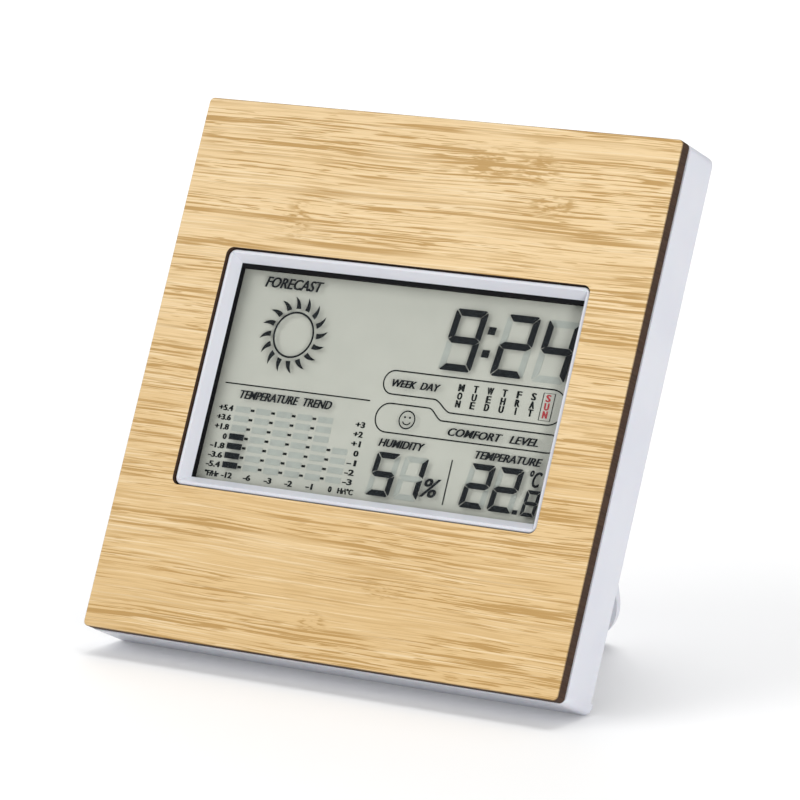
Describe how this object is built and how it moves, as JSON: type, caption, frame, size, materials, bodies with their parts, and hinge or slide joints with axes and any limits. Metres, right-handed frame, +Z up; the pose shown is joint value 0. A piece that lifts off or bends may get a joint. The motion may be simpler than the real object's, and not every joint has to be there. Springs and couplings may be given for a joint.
{
  "type": "desk weather station",
  "caption": "Square desk weather station with a bamboo face, a recessed grey LCD in a white bezel, a white case leaning back on a fold-out leg.",
  "frame": {"origin": "on the desk, under the middle of the standing object's box", "axes": "+X to the right across the face, +Y away from the reader, +Z up; the face leans back 24.3 degrees"},
  "size_m": [0.1254, 0.0725, 0.1202],
  "materials": {
    "bamboo": "satin varnished laser-cut bamboo",
    "foam_tape": "matt black foam tape",
    "white_abs": "satin moulded ABS",
    "button_abs": "matt moulded ABS",
    "retainer_abs": "matt moulded ABS",
    "black_foam": "matt black foam",
    "polariser": "clear anti-glare film",
    "lcd_glass": "clear glass",
    "reflector": "grey-green reflective film",
    "zebra_rubber": "striped conductive silicone",
    "board": "green solder mask on glass fibre",
    "chip_resin": "black glob of resin",
    "can_metal": "plated metal can",
    "component": "chip capacitors and resistors",
    "sensor_plastic": "moulded sensor housing",
    "sensor_bead": "resin bead",
    "switch_plastic": "black moulded nylon",
    "brass": "rolled brass disc",
    "sounder_ceramic": "silvered ceramic",
    "cell_wrap": "printed film wrap",
    "nickel": "nickel plated spring steel",
    "spring_steel": "nickel plated wire",
    "wire_red": "PVC insulation",
    "wire_black": "PVC insulation",
    "screw_steel": "zinc plated steel"
  },
  "bodies": {
    "housing": {"back_cover": "white_abs", "bamboo_panel": "bamboo", "battery_cells": "cell_wrap", "battery_contacts": "nickel", "battery_springs": "spring_steel", "battery_wire_black": "wire_black", "battery_wire_red": "wire_red", "board_components": "component", "board_screws": "screw_steel", "case_screws": "screw_steel", "clock_crystal": "can_metal", "driver_chip": "chip_resin", "front_case": "white_abs", "front_polariser": "polariser", "humidity_sensor": "sensor_plastic", "lcd_gasket": "black_foam", "lcd_glass": "lcd_glass", "lcd_retainer": "retainer_abs", "main_board": "board", "panel_tape": "foam_tape", "reflector_film": "reflector", "sounder_ceramic": "sounder_ceramic", "sounder_disc": "brass", "sounder_wire_black": "wire_black", "sounder_wire_red": "wire_red", "switch_bodies": "switch_plastic", "temperature_sensor": "sensor_bead", "zebra_strips": "zebra_rubber"},
    "stand": {"stand_leg": "white_abs"},
    "door": {"battery_door": "white_abs"},
    "mode_key": {"mode_button": "button_abs", "mode_plunger": "switch_plastic"},
    "set_key": {"set_button": "button_abs", "set_plunger": "switch_plastic"},
    "up_key": {"up_button": "button_abs", "up_plunger": "switch_plastic"},
    "down_key": {"down_button": "button_abs", "down_plunger": "switch_plastic"},
    "unit_key": {"unit_button": "button_abs", "unit_plunger": "switch_plastic"},
    "alarm_key": {"alarm_button": "button_abs", "alarm_plunger": "switch_plastic"}
  },
  "joints": [
    {"name": "stand_hinge", "type": "hinge", "parent": "housing", "child": "stand", "pos_m": [0, 0.0132, 0.08271], "axis": [-1, 0, 0], "range_deg": [0, 39]},
    {"name": "door_slide", "type": "slide", "parent": "housing", "child": "door", "axis": [0, 0.4115, 0.9114], "range_m": [0, 0.03]},
    {"name": "mode_press", "type": "slide", "parent": "housing", "child": "mode_key", "axis": [0, -0.9114, 0.4115], "range_m": [0, 0.0005], "stiffness_N_per_m": 800, "springref_m": -0.0005},
    {"name": "set_press", "type": "slide", "parent": "housing", "child": "set_key", "axis": [0, -0.9114, 0.4115], "range_m": [0, 0.0005], "stiffness_N_per_m": 800, "springref_m": -0.0005},
    {"name": "up_press", "type": "slide", "parent": "housing", "child": "up_key", "axis": [0, -0.9114, 0.4115], "range_m": [0, 0.0005], "stiffness_N_per_m": 800, "springref_m": -0.0005},
    {"name": "down_press", "type": "slide", "parent": "housing", "child": "down_key", "axis": [0, -0.9114, 0.4115], "range_m": [0, 0.0005], "stiffness_N_per_m": 800, "springref_m": -0.0005},
    {"name": "unit_press", "type": "slide", "parent": "housing", "child": "unit_key", "axis": [0, -0.9114, 0.4115], "range_m": [0, 0.0005], "stiffness_N_per_m": 800, "springref_m": -0.0005},
    {"name": "alarm_press", "type": "slide", "parent": "housing", "child": "alarm_key", "axis": [0, -0.9114, 0.4115], "range_m": [0, 0.0005], "stiffness_N_per_m": 800, "springref_m": -0.0005}
  ]
}
